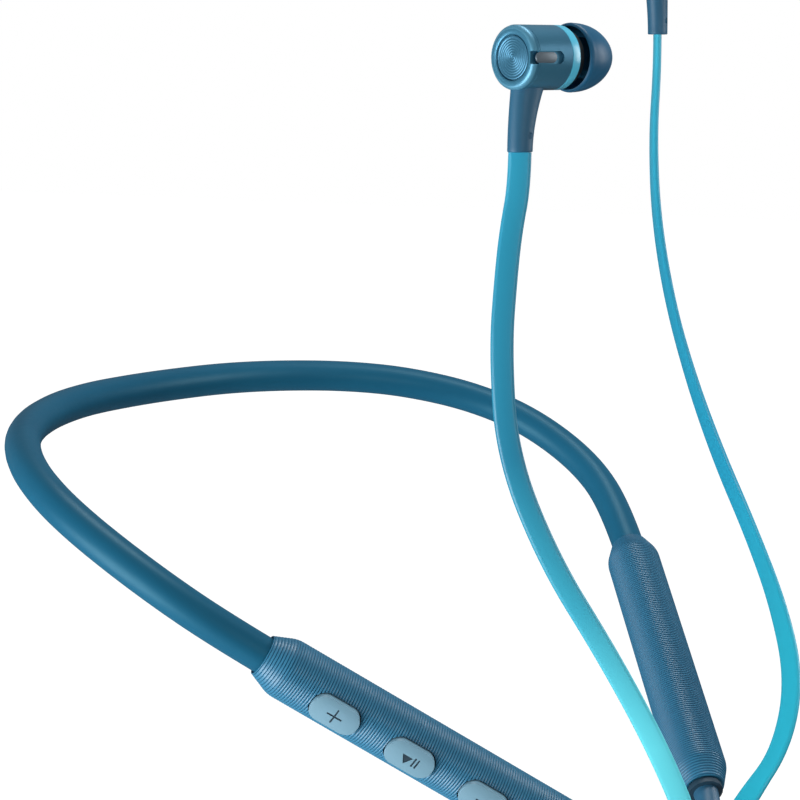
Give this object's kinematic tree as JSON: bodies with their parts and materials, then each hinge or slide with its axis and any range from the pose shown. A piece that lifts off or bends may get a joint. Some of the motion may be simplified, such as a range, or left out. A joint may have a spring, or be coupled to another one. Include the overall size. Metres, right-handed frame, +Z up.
{
  "type": "neckband earphones",
  "caption": "Wireless neckband earphones: silicone band, ribbed button and battery pods, flat cables and in-ear buds, posed as worn.",
  "frame": {"origin": "centre of the band's round section at the middle of the nape, where the band rests on the back of the neck", "axes": "+Z up as worn, +Y forward from the nape, +X towards the wearer's right, the button pod's side"},
  "size_m": [0.1558, 0.1435, 0.1738],
  "materials": {
    "sleeve_silicone": "smooth matte silicone",
    "loom_jacket": "braided wiring jacket",
    "spring_wire": "drawn nickel-titanium wire",
    "pod_plastic": "satin blue plastic with fine ribs",
    "inner_plastic": "moulded",
    "dark_rubber": "matt dark ring",
    "relief_rubber": "matt dark blue",
    "button_plastic": "satin light blue",
    "switch_metal": "stamped",
    "board_green": "solder mask",
    "chip_black": "moulded",
    "port_steel": "stamped steel",
    "light_pipe": "frosted light pipe",
    "cell_wrap": "shrink wrap",
    "foam": "soft foam",
    "cable_jacket": "flat satin cable, teal to cyan",
    "bud_metal": "satin metallic blue",
    "bud_rim": "satin bright bevel",
    "bud_disc": "turned concentric pattern",
    "inlay_metal": "satin plain strip",
    "bud_ring": "bright cyan",
    "nozzle_black": "moulded black",
    "mesh_steel": "woven mesh",
    "driver_black": "speaker driver",
    "magnet_nickel": "nickel plated",
    "stem_plastic": "satin dark blue",
    "tip_silicone": "soft dark blue silicone"
  },
  "bodies": {
    "neckband": {"band_sleeve": "sleeve_silicone", "wiring_loom": "loom_jacket", "memory_wire": "spring_wire"},
    "button_arm": {"bluetooth_module": "chip_black", "button_pod_bush": "inner_plastic", "button_pod_cover": "pod_plastic", "button_pod_ring": "dark_rubber", "button_pod_shell": "pod_plastic", "button_pod_strain_relief": "relief_rubber", "circuit_board": "board_green", "microphone": "chip_black", "play_switch": "switch_metal", "right_cable": "cable_jacket", "right_earbud_cap": "bud_rim", "right_earbud_disc": "bud_disc", "right_earbud_driver": "driver_black", "right_earbud_magnet": "magnet_nickel", "right_earbud_nozzle": "nozzle_black", "right_earbud_nozzle_mesh": "mesh_steel", "right_earbud_ring": "bud_ring", "right_earbud_shell": "bud_metal", "right_earbud_slot_inlay": "inlay_metal", "right_earbud_stem": "stem_plastic", "status_light": "light_pipe", "usb_port": "port_steel", "volume_down_switch": "switch_metal", "volume_up_switch": "switch_metal"},
    "battery_arm": {"battery_cell": "cell_wrap", "battery_foam_wrap": "foam", "battery_guard_board": "board_green", "battery_pod_bush": "inner_plastic", "battery_pod_cover": "pod_plastic", "battery_pod_ring": "dark_rubber", "battery_pod_shell": "pod_plastic", "battery_pod_strain_relief": "relief_rubber", "left_cable": "cable_jacket", "left_earbud_cap": "bud_rim", "left_earbud_disc": "bud_disc", "left_earbud_driver": "driver_black", "left_earbud_magnet": "magnet_nickel", "left_earbud_nozzle": "nozzle_black", "left_earbud_nozzle_mesh": "mesh_steel", "left_earbud_ring": "bud_ring", "left_earbud_shell": "bud_metal", "left_earbud_slot_inlay": "inlay_metal", "left_earbud_stem": "stem_plastic"},
    "volume_up_button": {"volume_up_button": "button_plastic"},
    "play_button": {"play_button": "button_plastic"},
    "volume_down_button": {"volume_down_button": "button_plastic"},
    "right_ear_tip": {"right_earbud_tip": "tip_silicone"},
    "left_ear_tip": {"left_earbud_tip": "tip_silicone"}
  },
  "joints": [
    {"name": "button_arm_flex", "type": "hinge", "parent": "neckband", "child": "button_arm", "pos_m": [0.0365, 0.0068, -0.0005], "axis": [0, -0.2791, -0.9603], "range_deg": [0, 25], "stiffness_Nm_per_rad": 0.3, "deforming": ["band_sleeve", "wiring_loom", "memory_wire"]},
    {"name": "battery_arm_flex", "type": "hinge", "parent": "neckband", "child": "battery_arm", "pos_m": [-0.0365, 0.0068, -0.0005], "axis": [0, 0.2791, 0.9603], "range_deg": [0, 25], "stiffness_Nm_per_rad": 0.3, "deforming": ["band_sleeve", "wiring_loom", "memory_wire"]},
    {"name": "volume_up_press", "type": "slide", "parent": "button_arm", "child": "volume_up_button", "axis": [-0.7996, -0.5138, 0.3108], "range_m": [0, 0.0004], "stiffness_N_per_m": 1500, "springref_m": -0.0004},
    {"name": "play_press", "type": "slide", "parent": "button_arm", "child": "play_button", "axis": [-0.7996, -0.5138, 0.3108], "range_m": [0, 0.0004], "stiffness_N_per_m": 1500, "springref_m": -0.0004},
    {"name": "volume_down_press", "type": "slide", "parent": "button_arm", "child": "volume_down_button", "axis": [-0.7996, -0.5138, 0.3108], "range_m": [0, 0.0004], "stiffness_N_per_m": 1500, "springref_m": -0.0004},
    {"name": "right_ear_tip_pull", "type": "slide", "parent": "button_arm", "child": "right_ear_tip", "axis": [-0.9744, 0.225, 0], "range_m": [0, 0.006]},
    {"name": "left_ear_tip_pull", "type": "slide", "parent": "battery_arm", "child": "left_ear_tip", "axis": [0.9744, 0.225, 0], "range_m": [0, 0.006]}
  ]
}
